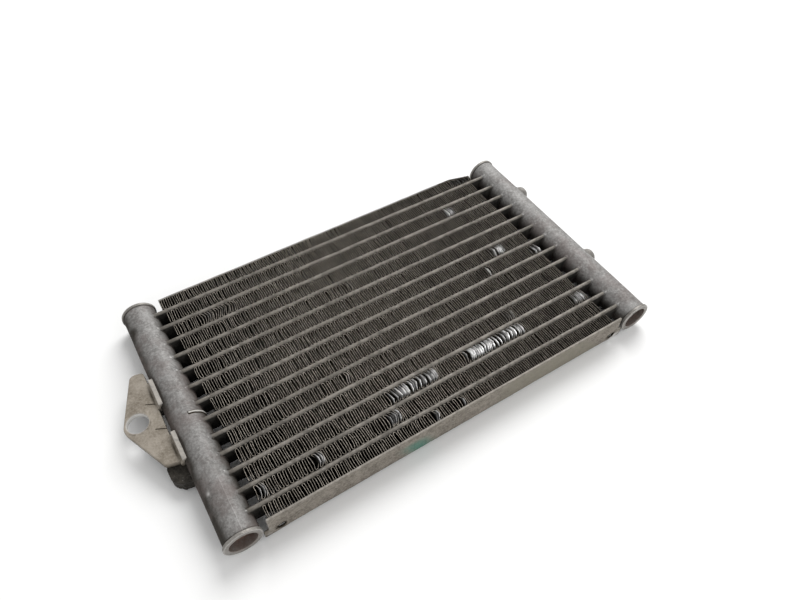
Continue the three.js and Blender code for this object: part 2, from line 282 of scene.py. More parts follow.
def sheet(outline, holes, thickness, edge, cuts=()):
    """A flat sheet about z = 0 with rounded edges. cuts are planes (point, normal) that add edges."""
    curve = bpy.data.curves.new("sheet", "CURVE")
    curve.dimensions = "2D"
    curve.fill_mode = "BOTH"
    curve.extrude = thickness / 2 - edge
    curve.bevel_depth = edge
    curve.bevel_resolution = 2
    curve.offset = -edge
    for line in [outline, *holes]:
        spline = curve.splines.new("POLY")
        spline.points.add(len(line) - 1)
        for point, (x, y) in zip(spline.points, line):
            point.co = (x, y, 0, 1)
        spline.use_cyclic_u = True
    carrier = bpy.data.objects.new("sheet", curve)
    mesh = bpy.data.meshes.new_from_object(carrier)
    bpy.data.objects.remove(carrier)
    bpy.data.curves.remove(curve)
    bm = bmesh.new()
    bm.from_mesh(mesh)
    bmesh.ops.remove_doubles(bm, verts=bm.verts, dist=1e-4)
    for point, normal in cuts:
        bmesh.ops.bisect_plane(bm, geom=[*bm.verts, *bm.edges, *bm.faces], plane_co=point, plane_no=normal)
    bm.to_mesh(mesh)
    bm.free()
    return mesh


def coordinates(mesh):
    points = np.empty(len(mesh.vertices) * 3)
    mesh.vertices.foreach_get("co", points)
    return points.reshape(-1, 3)


# ---- materials ----


class Material:
    """A small builder for node materials. Every method returns a socket."""

    def __init__(self, name):
        self.material = bpy.data.materials.new(name)
        self.material.use_nodes = True
        self.tree = self.material.node_tree
        self.tree.nodes.clear()
        self.place = self.node("ShaderNodeTexCoord").outputs["Object"]
        split = self.node("ShaderNodeSeparateXYZ", Vector=self.place)
        self.x, self.z = split.outputs["X"], split.outputs["Z"]

    def node(self, kind, settings=None, ordered=(), **inputs):
        """A node with settings. Its inputs are values or sockets, given in order or by name."""
        made = self.tree.nodes.new(kind)
        for key, value in (settings or {}).items():
            setattr(made, key, value)
        for socket, value in zip(made.inputs, ordered):
            self.feed(socket, value)
        for key, value in inputs.items():
            self.feed(made.inputs[key.replace("_", " ")], value)
        return made

    def feed(self, socket, value):
        if isinstance(value, bpy.types.NodeSocket):
            self.tree.links.new(value, socket)
        else:
            socket.default_value = value

    def math(self, operation, a, b=0.0, clamp=False):
        return self.node("ShaderNodeMath", {"operation": operation, "use_clamp": clamp}, (a, b)).outputs[0]

    def plus(self, a, b, clamp=False):
        return self.math("ADD", a, b, clamp)

    def minus(self, a, b, clamp=False):
        return self.math("SUBTRACT", a, b, clamp)

    def times(self, a, b, clamp=False):
        return self.math("MULTIPLY", a, b, clamp)

    def off_middle(self):
        """Height above or below the middle of the core, in metres."""
        return self.math("ABSOLUTE", self.minus(self.z, CORE[2] * MM))

    def fade(self, value, low, high, start=0.0, end=1.0):
        """start where value is low, end where it is high, and smooth between."""
        settings = {"interpolation_type": "SMOOTHSTEP"}
        return self.node("ShaderNodeMapRange", settings, (value, low, high, start, end)).outputs[0]

    def noise(self, grain, detail=4.0, roughness=0.6, stretch=(1, 1, 1), shift=0.0):
        """Noise from 0 to 1, with features of about grain mm."""
        scale = tuple(s / (grain * MM) for s in stretch)
        place = (shift, shift * 0.7, -shift)
        scaled = self.node("ShaderNodeMapping", Vector=self.place, Scale=scale, Location=place)
        settings = {"Scale": 1.0, "Detail": detail, "Roughness": roughness}
        return self.node("ShaderNodeTexNoise", Vector=scaled.outputs[0], **settings).outputs[0]

    def attribute(self, name):
        return self.node("ShaderNodeAttribute", {"attribute_name": name}).outputs["Fac"]

    def mix(self, factor, a, b):
        made = self.node("ShaderNodeMix", {"data_type": "RGBA", "clamp_factor": True}, Factor=factor)
        self.feed(made.inputs[6], a)
        self.feed(made.inputs[7], b)
        return made.outputs[2]

    def bump(self, height, depth):
        """A bump whose height goes from 0 to depth mm."""
        return self.node("ShaderNodeBump", Height=height, Distance=depth * MM, Strength=1.0).outputs[0]

    def done(self, colour, roughness, metallic, normal, specular=0.22):
        """The finished material."""
        shader = self.node(
            "ShaderNodeBsdfPrincipled", Base_Color=colour, Roughness=roughness, Metallic=metallic,
            Specular_IOR_Level=specular, Normal=normal,
        )
        self.node("ShaderNodeOutputMaterial", Surface=shader.outputs[0])
        return self.material


def grey(value, warmth=0.0):
    """A linear grey. Warmth makes it browner."""
    return (value * (1 + warmth), value, value * (1 - 1.3 * warmth), 1)


BARE_METAL_AND_HIGHLIGHT = (0.66, 0.65, 0.63, 1)
BRIGHT_FOIL = (0.92, 0.91, 0.9, 1)
BROWN_BLOTCH = (0.15, 0.122, 0.114, 1)
BROWN_FILM = (0.15, 0.092, 0.072, 1)
PALE_TAN = (0.21, 0.195, 0.155, 1)
GREEN_PAINT = (0.06, 0.19, 0.145, 1)


def weathered(name, tones, grain, speck, metallic, rough, mottle=0.4, extra=None):
    """Dull mottled aluminium with specks and nicks. Two of its attributes add dirt with painted shade, and
    bright worn metal with painted highlights.

    tones are light, middle, dark and a dark tone for dirt and painted shade, each (value, warmth). grain and
    speck are sizes in mm.
    """
    m = Material(name)
    light, mid, dark, grime_and_shade = (grey(*tone) for tone in tones)
    broad = m.fade(m.noise(grain, 5, 0.62), 0.34, 0.66)
    fine = m.fade(m.noise(speck * 1.6, 5, 0.7, shift=3.1), 0.32, 0.7)
    colour = m.mix(broad, dark, mid)
    colour = m.mix(m.times(fine, mottle), colour, light)
    patches = m.fade(m.noise(speck * 4.5, 6, 0.72, shift=13.7), 0.5, 0.68)
    colour = m.mix(m.times(patches, mottle), colour, dark)
    pits = m.fade(m.noise(speck, 2, 0.5, shift=7.7), 0.68, 0.78)
    colour = m.mix(m.times(pits, 0.5), colour, grime_and_shade)
    nicks = m.fade(m.noise(speck * 0.8, 3, 0.6, shift=11.3), 0.71, 0.79)
    colour = m.mix(m.times(nicks, 0.65), colour, tuple(c * 1.5 for c in light[:3]) + (1,))
    # Dirt and painted shade from the attribute, broken up by noise.
    dirt = m.plus(m.attribute("grime_and_shade"), m.times(m.noise(grain * 0.5, 6, 0.7, shift=5.9), 0.5))
    dirt = m.fade(dirt, 0.35, 1.15)
    colour = m.mix(dirt, colour, grime_and_shade)
    # Bright worn metal and painted highlights from the attribute.
    colour = m.mix(m.attribute("bare_and_highlight"), colour, BARE_METAL_AND_HIGHLIGHT)
    if extra:
        colour = extra(m, colour)
    roughness = m.plus(rough - 0.1, m.times(m.noise(speck * 2.2, 4, 0.7, shift=1.7), 0.28))
    roughness = m.plus(roughness, m.times(dirt, 0.25), clamp=True)
    metal = m.times(m.minus(1.0, dirt), metallic)
    relief = m.plus(m.noise(speck * 0.9, 4, 0.65, shift=2.3), m.times(fine, 0.5))
    return m.done(colour, roughness, metal, m.bump(relief, 0.06))


def header_material():
    """Dull aluminium with faint brown blotches."""

    def blotches(m, colour):
        return m.mix(m.fade(m.noise(24, 6, 0.7, shift=17.1), 0.44, 0.64, 0, 0.5), colour, BROWN_BLOTCH)

    return weathered(
        "header_aluminium", ((0.37, 0.02), (0.21, 0.025), (0.13, 0.04), (0.026, 0.16)),
        grain=12, speck=1.0, mottle=0.7, metallic=0.3, rough=0.56, extra=blotches,
    )


def cap_material():
    """As the headers, with a brown film where the film attribute is set."""

    def film(m, colour):
        uneven = m.fade(m.noise(3.5, 5, 0.6, shift=4.2), 0.3, 0.65, 0.35, 1.0)
        return m.mix(m.times(m.attribute("film"), uneven), colour, BROWN_FILM)

    return weathered(
        "cap_aluminium", ((0.4, 0.05), (0.24, 0.06), (0.15, 0.07), (0.03, 0.16)),
        grain=6, speck=0.7, metallic=0.5, rough=0.45, extra=film,
    )


def plate_material():
    """Tan weathered sheet, with a smear of green paint and a paler stretch towards the right end."""

    def marks(m, colour):
        cloudy = m.fade(m.noise(5, 5, 0.7, stretch=(1, 1, 2), shift=8.1), 0.2, 0.6, 0.35, 0.85)
        colour = m.mix(m.times(m.attribute("pale"), cloudy), colour, PALE_TAN)
        brushed = m.fade(m.noise(2.5, 6, 0.75, stretch=(0.6, 1, 1.3), shift=6.4), 0.3, 0.48)
        return m.mix(m.times(m.times(m.attribute("paint"), brushed), 0.82), colour, GREEN_PAINT)

    return weathered(
        "side_plate_aluminium", ((0.3, 0.1), (0.18, 0.13), (0.085, 0.17), (0.025, 0.24)),
        grain=7, speck=1.0, mottle=0.7, metallic=0.2, rough=0.6, extra=marks,
    )


def bracket_material():
    return weathered(
        "bracket_aluminium", ((0.38, 0.1), (0.26, 0.13), (0.125, 0.19), (0.035, 0.26)),
        grain=14, speck=0.9, mottle=0.42, metallic=0.2, rough=0.58,
    )


def boss_material():
    return weathered(
        "boss_aluminium", ((0.36, 0.04), (0.22, 0.06), (0.14, 0.06), (0.04, 0.12)),
        grain=5, speck=0.8, metallic=0.45, rough=0.5,
    )


def port_material():
    """Metal under dark oily dirt, wet in places, darkened to near black as painted shade under the ear."""
    m = Material("port_aluminium")
    lumps = m.noise(2.2, 6, 0.7)
    # Near black: partly oily dirt and partly painted shade under the ear.
    colour = m.mix(m.fade(lumps, 0.3, 0.7), grey(0.014, 0.16), grey(0.045, 0.14))
    worn = m.fade(m.noise(1.4, 4, 0.6, shift=9.2), 0.58, 0.72)
    colour = m.mix(m.times(worn, m.attribute("bare_and_highlight")), colour, grey(0.3, 0.03))
    roughness = m.fade(m.noise(3.0, 5, 0.7, shift=2.7), 0.3, 0.7, 0.38, 0.8)
    return m.done(colour, roughness, 0.15, m.bump(lumps, 0.5))


def tube_material():
    """Light worn noses above and below, and painted shade, near black, on the flat sides between the fins."""
    m = Material("tube_aluminium")
    height = m.off_middle()
    half = TUBE_WIDTH / 2
    wobble = m.times(m.minus(m.noise(5, 5, 0.7, shift=2.9), 0.5), 1.1 * MM)
    nose = m.fade(m.plus(height, wobble), (half - 1.5) * MM, (half - 0.35) * MM)
    worn = m.mix(m.fade(m.noise(6, 5, 0.65), 0.35, 0.65), grey(0.11, 0.1), grey(0.2, 0.09))
    scuff = m.fade(m.noise(0.9, 4, 0.7, stretch=(0.5, 1, 1), shift=5.3), 0.56, 0.72)
    worn = m.mix(m.times(scuff, 0.6), worn, grey(0.42, 0.03))
    stain = m.fade(m.noise(1.6, 5, 0.7, stretch=(0.6, 1, 1), shift=8.8), 0.54, 0.74)
    worn = m.mix(m.times(stain, 0.7), worn, grey(0.05, 0.14))
    worn = m.mix(m.attribute("grime_and_shade"), worn, grey(0.05, 0.1))
    # Painted shade: the flat sides between the fins are near black.
    flat = m.mix(m.fade(m.noise(3, 4, 0.6, shift=1.2), 0.3, 0.7), grey(0.012, 0.1), grey(0.035, 0.1))
    colour = m.mix(nose, flat, worn)
    metal = m.times(nose, 0.4)
    roughness = m.fade(m.noise(1.3, 4, 0.7, shift=4.4), 0.3, 0.7, 0.42, 0.62)
    roughness = m.plus(roughness, m.times(m.minus(1.0, nose), 0.25), clamp=True)
    return m.done(colour, roughness, metal, m.bump(m.noise(0.7, 4, 0.7, stretch=(0.6, 1, 1)), 0.08))


def fin_material():
    """Thin dirty foil: dusty pale edges, painted shade near black in its depth, and bright where it is
    crushed, with painted highlights there.
    """
    m = Material("fin_aluminium")
    height = m.off_middle()
    edge = m.fade(height, 6.1 * MM, 6.5 * MM)
    edge = m.times(edge, m.fade(m.noise(7, 5, 0.65, shift=3.3), 0.25, 0.65, 0.45, 1.0))
    dust = m.mix(m.fade(m.noise(1.4, 4, 0.7, shift=6.1), 0.35, 0.7), grey(0.17, 0.13), grey(0.5, 0.1))
    dust = m.mix(m.fade(m.x, -60 * MM, 110 * MM, 0, 0.55), dust, grey(0.05, 0.12))
    # Painted shade: the foil is near black below its top edges.
    depth_shade = m.mix(m.fade(m.noise(4, 4, 0.6, shift=1.9), 0.3, 0.7), grey(0.004, 0.16), grey(0.014, 0.14))
    colour = m.mix(edge, depth_shade, dust)
    streak = m.fade(m.noise(1.8, 4, 0.7, stretch=(1.2, 0.35, 0.6), shift=7.3), 0.32, 0.56, 0.2, 1.0)
    # Crushed foil shows bright, with a painted highlight near each leg's tip and painted shade lower down.
    shine = m.times(m.attribute("crush_and_glint"), streak, clamp=True)
    colour = m.mix(shine, colour, BRIGHT_FOIL)
    metal = m.minus(0.9, m.times(edge, 0.5), clamp=True)
    roughness = m.fade(m.noise(2, 3, 0.6, shift=4.9), 0.3, 0.7, 0.5, 0.7)
    roughness = m.minus(roughness, m.times(shine, 0.25), clamp=True)
    return m.done(colour, roughness, metal, m.bump(m.noise(0.8, 3, 0.6), 0.05), specular=0.08)


# ---- headers ----

HEADER_SEGMENTS = 176
HEADER_STEP = 0.42
FILLET = 0.6
# A knock on the left header: its y, and its angle from the side of the flat tubes over the top.
KNOCK_Y = -58.8
KNOCK_ANGLE = 124


def stadium_distance(y, z):
    """Distance outside a flat tube's section, in mm, negative inside."""
    straight = (TUBE_WIDTH - TUBE_THICKNESS) / 2
    return np.hypot(np.maximum(abs(z) - straight, 0), y) - TUBE_THICKNESS / 2


def header(node, material, axis_x, side, dents, seed, own_marks=None):
    """A header tube with braze fillets round each flat tube. side is +1 where those are on its +X side."""
    rng = np.random.default_rng(seed)
    ys = np.linspace(-HEADER_END, HEADER_END, int(2 * HEADER_END / HEADER_STEP))
    angles = turn_angles(HEADER_SEGMENTS)
    y, angle = (g.ravel() for g in np.meshgrid(ys, angles, indexing="ij"))
    facing, z = np.cos(angle), HEADER_RADIUS * np.sin(angle)
    flat = np.stack([HEADER_RADIUS * facing, y, z], -1)

    rise = ripple(flat, 26, seed, 0.05) + ripple(flat, 7, seed + 1, 0.02)
    grime_and_shade = np.zeros(len(y))
    bare_and_highlight = np.zeros(len(y))
    for index, tube_y in enumerate(TUBE_YS):
        fillet = FILLET * (1 + 0.2 * ripple(flat, 5, seed + 2 + index))
        away = np.where(facing > 0, stadium_distance(y - tube_y, z), 50)
        inside = np.clip(fillet - away, 0, fillet)
        rise += fillet - np.sqrt(np.maximum(fillet**2 - inside**2, 0))
        grime_and_shade += 0.25 * bump(abs(away - 0.4), 1.0) * (z < 7.2)
        for end in (1, -1):
            for _ in range(2):
                spot_y = tube_y + rng.uniform(-1.6, 1.6)
                spot_z = end * (7.9 + rng.uniform(-0.4, 0.7))
                spot = np.where(facing > 0, np.hypot(y - spot_y, z - spot_z), 50)
                radius = rng.uniform(0.7, 1.3)
                rise += rng.uniform(0.1, 0.25) * bump(spot, radius)
                # Painted highlight: a bright speck on some of the braze bumps.
                if rng.random() < 0.5:
                    bare_and_highlight += rng.uniform(0.4, 1.1) * bump(spot, radius * 0.55)
    for dent_y, dent_angle, radius, depth in dents:
        turn = abs((np.degrees(angle) - dent_angle + 180) % 360 - 180)
        away = np.hypot(y - dent_y, np.radians(turn) * HEADER_RADIUS)
        rise -= depth * bump(away, radius)
        bare_and_highlight += 0.5 * depth * bump(abs(away - radius * 0.6), radius * 0.5)

    # Painted shade: darker on the low side and on the side that faces the flat tubes.
    low_side_shade = ramp(-z, -9.5, 4)
    grime_and_shade += 0.62 * low_side_shade * (0.75 + 0.25 * facing) + 0.3 * ramp(facing, 0.35, 0.95)
    grime_and_shade += 0.5 * bump(HEADER_END - abs(y), 1.3)
    if own_marks:
        own_rise, own_grime_and_shade, own_bare = own_marks(y, np.degrees(angle))
        rise += own_rise
        grime_and_shade += own_grime_and_shade
        bare_and_highlight += own_bare
    rise *= ramp(HEADER_END - abs(y), -0.3, 0.6)
    rise = np.minimum(rise, FLANGE_RADIUS - HEADER_RADIUS + 0.2)

    radius = HEADER_RADIUS + rise
    outer = np.stack([axis_x + side * radius * facing, y, radius * np.sin(angle)], -1)
    rings = outer.reshape(len(ys), HEADER_SEGMENTS, 3)
    inner = rings[[-1, 0]].copy()
    for ring in inner:
        ring[:, 0] = axis_x + side * HEADER_BORE * np.cos(angles)
        ring[:, 2] = HEADER_BORE * np.sin(angles)
    points, faces = loft(np.concatenate([rings, inner]), closed=True)
    pad = np.full(2 * HEADER_SEGMENTS, 0.8)
    data = {
        "grime_and_shade": np.concatenate([unit(grime_and_shade), pad]),
        "bare_and_highlight": np.concatenate([unit(bare_and_highlight), np.zeros(len(pad))]),
    }
    return make_piece(node, material, points, faces, data, 50)


def left_marks(y, angle):
    """What dirt, a stain, a draw line, a knock and painted shade add to the rise, the darkening and the
    bright metal.
    """
    lips = bump(abs(abs(y) - LIP_MIDDLE), 13.5) * bump(abs(angle - 143), 16)
    ear = bump(abs(y), 33) * ramp(angle, 140, 155) * ramp(-angle, -215, -190)
    stain = bump(np.hypot(y - 70, (angle - 128) * 0.19), 9)
    line = ramp(-y, 49, 56) * bump(abs(angle - 77.7) * pi / 180 * HEADER_RADIUS, 0.34)
    # Painted shade: the left flank is darker.
    flank = ramp(angle, 102, 162) * ramp(-angle, -300, -220)
    flank *= 0.85 + 0.15 * np.sin(y / 7 + np.sin(y / 3))
    knock = bump(np.hypot(y - KNOCK_Y, (angle - KNOCK_ANGLE) * 0.19), 1.5)
    # The 0.13 is painted shade over the whole left header, which is darker than the right.
    grime_and_shade = 0.7 * lips + 0.4 * ear + 0.35 * stain + 0.75 * flank + 0.13 + 0.14 * bump(y, 50)
    return 0.12 * line, grime_and_shade, 0.2 * line + 0.75 * knock


def add_headers():
    """Dents are (y, angle from the side of the flat tubes over the top, radius, depth)."""
    material = header_material()
    left_dents = [
        (KNOCK_Y, KNOCK_ANGLE, 2.2, 0.3), (-44, 100, 1.2, 0.1), (12, 108, 1.0, 0.1), (64, 70, 1.4, 0.12),
        (-70, 60, 1.1, 0.12), (30, 20, 1.6, 0.15), (-20, 235, 2.0, 0.2), (50, 250, 1.5, 0.15),
    ]
    header("left_header_tank", material, LEFT_X, 1, left_dents, 21, left_marks)
    right_dents = [
        (82.1, 65, 0.8, 0.25), (80.4, 72, 0.7, 0.2), (83.5, 74, 0.5, 0.15), (15, 117, 1.2, 0.12),
        (-20, 100, 1.4, 0.1), (-60, 118, 1.5, 0.15), (40, 95, 1.1, 0.1), (60, 200, 1.8, 0.2),
        (-70, 250, 1.5, 0.15),
    ]
    header("right_header_tank", material, RIGHT_X, -1, right_dents, 61)


def baffle_rim(material):
    """The baffle's rim, which stands a little proud of the left header over the side that faces the fins."""
    low, high = cad("left_header_baffle")
    y = (low[1] + high[1]) / 2
    half = (high[1] - low[1]) / 2
    top = high[0] - LEFT_X
    seat = HEADER_RADIUS
    right_half = [
        (half - 0.4, top), (half - 0.15, top - 0.1), (half, seat + 0.4), (half + 0.2, seat + 0.14),
        (half + 0.55, seat + 0.02), (half + 0.9, seat - 0.15),
    ]
    profile = [(-offset, radius) for offset, radius in right_half[::-1]] + right_half
    profile += [(half, seat - 1.2), (-half, seat - 1.2)]
    spread = np.radians(np.linspace(-79, 79, 120))
    rings = []
    for angle in spread:
        end = ramp(radians(80) - abs(angle), 0, 0.06)
        ring = []
        for offset, radius in profile:
            r = seat - 0.2 + (radius - seat + 0.2) * (0.25 + 0.75 * end)
            ring.append([LEFT_X + r * cos(angle), y + offset, r * sin(angle)])
        rings.append(ring)
    points, faces = loft(rings)
    points = points + shake(points, (5, 71, 0.03), (4, 72, 0.06), (6, 73, 0.03))
    radial = np.hypot(points[:, 0] - LEFT_X, points[:, 2])
    # Painted shadow of the slot at the seat and below the top, and a painted highlight along the top edge.
    grime_and_shade = 0.8 * bump(radial - seat, 0.5) + 0.6 * ramp(-radial, -top, 0.3 - top) + 0.25
    data = {"grime_and_shade": grime_and_shade, "bare_and_highlight": 0.55 * ramp(radial, top - 0.15, top)}
    make_piece("left_header_baffle", material, points, faces, data, 50)


# ---- end caps ----


def end_cap(node, material, x, end, seed):
    """A pressed cup with a rounded flange on a header end. end is +1 at the rear and -1 at the front."""
    seat, face = HEADER_END, END_Y
    radius = FLANGE_RADIUS
    profile = [(2.0, seat - 5.6), (9.0, seat - 5.6), (9.35, seat - 5.2), (9.35, seat - 0.05)]
    profile += [(10.9, seat - 0.02)]
    profile += arc((radius - 0.35, seat + 0.35), 0.35, -90, 0, 4)
    profile += arc((radius - 0.55, face - 0.55), 0.55, 0, 90, 6)
    profile += [(radius - 0.95, face - 0.02), (radius - 1.4, face - 0.05)]
    profile += [(radius - 1.9, face - 0.06), (radius - 2.3, face - 0.04)]
    profile += arc((8.8, face - 0.5), 0.5, 90, 180, 6)
    profile += [(8.25, face - 2.5), (8.2, face - 4.4)]
    profile += arc((7.1, face - 5.4), 1.1, 0, -90, 6)
    profile += [(6.0, face - 6.5), (4.5, face - 6.45), (3.0, face - 6.4), (1.0, face - 6.38)]
    rings = lathe(profile, 144)
    points, faces = loft(rings)
    r = np.hypot(points[:, 0], points[:, 2])
    y = points[:, 1].copy()
    rim = ramp(r, 8.6, 10.5)
    points += rim[:, None] * shake(points, (9, seed, 0.05), (7, seed + 1, 0.035), (9, seed + 2, 0.05))
    inside = ramp(-r, -8.7, -7.9) * ramp(y, face - 6.8, face - 6.0) + ramp(-r, -8.3, -7.2) * (y > seat - 5.3)
    grime_and_shade = 0.25 * ramp(-y, -seat - 0.9, -seat)
    grime_and_shade += 0.7 * bump(abs(r - 7.8), 0.8) * ramp(-y, -face + 4.5, -face + 6.2)
    if node == "right_front_end_cap":
        # A dark pit in its flange.
        pit = np.hypot(points[:, 0] + 5.4, points[:, 2] - 8.3)
        points[:, 1] -= 0.5 * bump(pit, 0.75) * (y > seat + 1)
        grime_and_shade += bump(pit, 0.9) * (y > seat + 1)
    points[:, 1] = np.minimum(points[:, 1], face)
    outward = np.hypot(points[:, 0], points[:, 2])
    points[:, [0, 2]] *= np.minimum(1, radius / np.maximum(outward, 1e-6))[:, None]
    bare_and_highlight = 0.35 * ramp(y, face - 0.5, face) * ramp(r, radius - 1.0, radius - 0.4)
    data = {"grime_and_shade": unit(grime_and_shade), "bare_and_highlight": bare_and_highlight, "film": unit(inside)}
    points[:, 1] *= end
    points[:, 0] += x
    make_piece(node, material, points, faces, data, 60)


# ---- flat tubes ----


TUBE_STEPS = 190
TUBE_NICKS = 16


def flat_tube(node, material, seed):
    """One flat tube, a little wavy, with nicks along its noses."""
    rng = np.random.default_rng(seed)
    y0 = centre(node)[1]
    half, r = TUBE_WIDTH / 2, TUBE_THICKNESS / 2
    section = arc((0, half - r), r, 0, 180, 12) + [(-r, 3), (-r, 0), (-r, -3)]
    section += arc((0, r - half), r, 180, 360, 12) + [(r, -3), (r, 0), (r, 3)]
    points, faces = along_x(section, np.linspace(-TUBE_LENGTH / 2, TUBE_LENGTH / 2, TUBE_STEPS), 0)
    x, z = points[:, 0].copy(), points[:, 2].copy()
    moved_y, moved_z = points.T[1:]
    nose = ramp(abs(z), half - 2.2, half - 0.4)
    side = np.sign(z)
    free = bump(abs(x) / 134, 1.0) ** 0.3

    def by_side(upper, lower):
        """A random curve for the upper nose and another for the lower."""
        return np.where(side > 0, wander(x, *upper), wander(x, *lower))

    moved_y += nose * free * by_side((28, seed, 0.16), (24, seed + 1, 0.16))
    moved_y += nose * free * by_side((6, seed + 2, 0.06), (7, seed + 3, 0.06))
    moved_z -= side * nose * (0.04 + by_side((11, seed + 4, 0.05), (9, seed + 5, 0.05)))
    for _ in range(TUBE_NICKS):
        nick_x = rng.uniform(-130, 130)
        nick = bump(abs(x - nick_x), rng.uniform(1.2, 3.2)) * nose * (side == rng.choice([-1, 1]))
        moved_z -= side * nick * rng.uniform(0.12, 0.4)
        moved_y += nick * rng.uniform(-0.2, 0.2)
    np.clip(moved_z, -half, half, out=moved_z)
    ends = ramp(abs(x), 129, 137)
    grime_and_shade = 0.35 * ends + 0.25 * ramp(wander(x, 16, seed + 6), 0.2, 0.8)
    moved_y += y0
    make_piece(node, material, points, faces, {"grime_and_shade": grime_and_shade}, 60)


# ---- fins ----

FIN_PITCH = 1.5
FOIL = 0.24
# Stretches where the fin tops are crushed: (fin, from x, to x, lean in degrees, how bright).
CRUSHED = [
    ("fin_12", -37, 1, 72, 1.0),
    ("fin_12", 20.5, 71, 76, 1.15),
    ("fin_12", 112, 126, 50, 0.55),
    ("fin_13", -45.5, -34.5, 66, 0.9),
    ("fin_13", -94.5, -87.5, 64, 1.0),
    ("fin_13", -129, -123.5, 60, 0.45),
    ("fin_03", 85, 95.5, 62, 0.8),
    ("fin_07", 91, 105, 68, 1.0),
    ("fin_08", 118, 126, 64, 0.8),
    ("fin_08", 78, 82.5, 48, 0.6),
    ("fin_14", -18.5, -15, 50, 0.7),
    ("fin_14", 0.5, 3.5, 45, 0.4),
    ("fin_03", -112, -82, 34, 0.08),
    ("fin_01", 108, 128, 52, 0.05),
    ("fin_05", -16, -11, 30, 0.2),
    ("fin_10", -52, -48, 30, 0.2),
    ("fin_11", 64, 72, 34, 0.12),
]
CRUSH_FLOOR = 2.1
FINE_LEVELS = [-1, 0.0, 0.32, 0.48, 0.62, 0.74, 0.84, 0.93, 1]
COARSE_LEVELS = [-1, -0.6, 0.2, 0.6, 0.85, 1]


def foil_path(start, end, height):
    """Centre line of the folded foil, as x, y and leg number, with half-round folds."""
    legs = int(round((end - start - FOIL) / FIN_PITCH)) + 1
    pitch = (end - start - FOIL) / (legs - 1)
    bend = pitch / 2
    reach = (height - FOIL) / 2 - bend
    path = []
    for leg in range(legs):
        x = start + FOIL / 2 + leg * pitch
        way = 1 if leg % 2 == 0 else -1
        path += [(x, way * reach * t, leg) for t in (-1, -0.4, 0.4, 1)]
        if leg < legs - 1:
            for turn in (45, 90, 135):
                a = radians(turn)
                y = way * (reach + bend * sin(a))
                path.append((x + bend - bend * cos(a), y, leg + turn / 180))
    return np.array(path), reach, pitch


